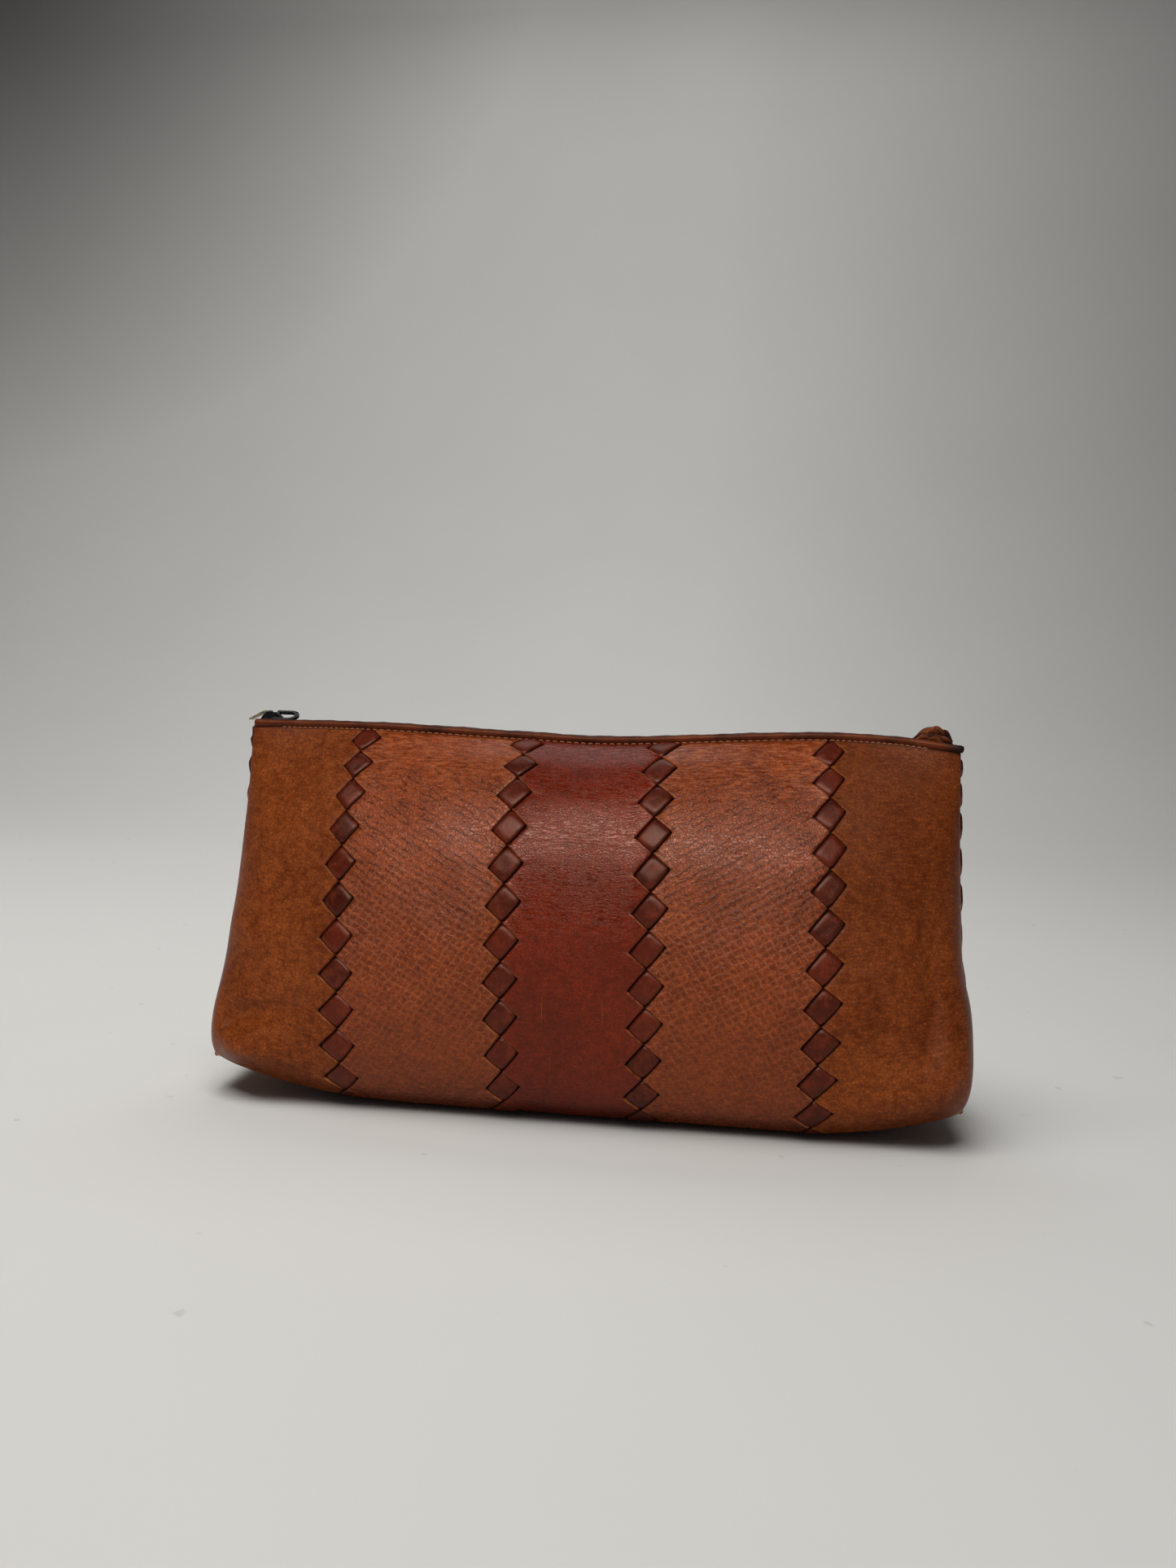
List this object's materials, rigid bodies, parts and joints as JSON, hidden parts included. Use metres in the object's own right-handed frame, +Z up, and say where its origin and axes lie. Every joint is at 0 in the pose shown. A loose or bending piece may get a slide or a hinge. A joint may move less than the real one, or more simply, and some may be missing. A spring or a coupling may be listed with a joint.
{
  "type": "zip-top leather pouch",
  "caption": "Soft leather zip-top pouch with laced panel seams, boxed bottom corners and a sliding zip pull.",
  "frame": {"origin": "centre of the resting base, on the surface it stands on", "axes": "+X along the bag from the closed slider to the zip's end tab, -Y out of the front, +Z up"},
  "size_m": [0.299, 0.0976, 0.1564],
  "materials": {
    "tan_leather": "smooth waxed tan calf with pull-up marks",
    "embossed_leather": "tan leather embossed with small squares set on their corners",
    "centre_leather": "glossy red-brown leather with a fine pebbled grain",
    "lace_leather": "dark red-brown leather strip, polished on its high spots",
    "binding_leather": "dark brown rolled leather edge",
    "thread": "waxed brown thread",
    "lining_fabric": "plain brown twill",
    "zip_tape": "dark woven tape",
    "zip_metal": "aged dark brass",
    "gunmetal": "black gunmetal",
    "worn_brass": "worn plated spring leaf",
    "ring_metal": "grey gunmetal plate"
  },
  "bodies": {
    "root": {"left_end_panel": "tan_leather", "right_end_panel": "tan_leather", "left_embossed_panel": "embossed_leather", "right_embossed_panel": "embossed_leather", "centre_panel": "centre_leather", "left_outer_lacing": "lace_leather", "left_inner_lacing": "lace_leather", "right_inner_lacing": "lace_leather", "right_outer_lacing": "lace_leather", "left_side_lacing": "lace_leather", "right_side_lacing": "lace_leather", "left_corner_seam": "tan_leather", "right_corner_seam": "tan_leather", "front_binding": "binding_leather", "back_binding": "binding_leather", "front_top_stitching": "thread", "back_top_stitching": "thread", "lining": "lining_fabric", "front_zip_tape": "zip_tape", "back_zip_tape": "zip_tape", "front_zip_teeth": "zip_metal", "back_zip_teeth": "zip_metal", "zip_top_stops": "zip_metal", "zip_bottom_stop": "zip_metal", "zip_end_tab": "binding_leather"},
    "slider": {"slider_body": "gunmetal", "slider_bridge": "gunmetal", "slider_leaf": "worn_brass"},
    "ring": {"pull_ring": "ring_metal"}
  },
  "joints": [
    {"name": "zip_slide", "type": "slide", "parent": "root", "child": "slider", "axis": [1, 0, 0], "range_m": [0, 0.247], "deforming": ["front_zip_teeth", "back_zip_teeth"]},
    {"name": "ring_swing", "type": "hinge", "parent": "slider", "child": "ring", "pos_m": [-0.1365, 0, 0.1536], "axis": [0, -0.9063, -0.4226], "range_deg": [0, 110]}
  ]
}
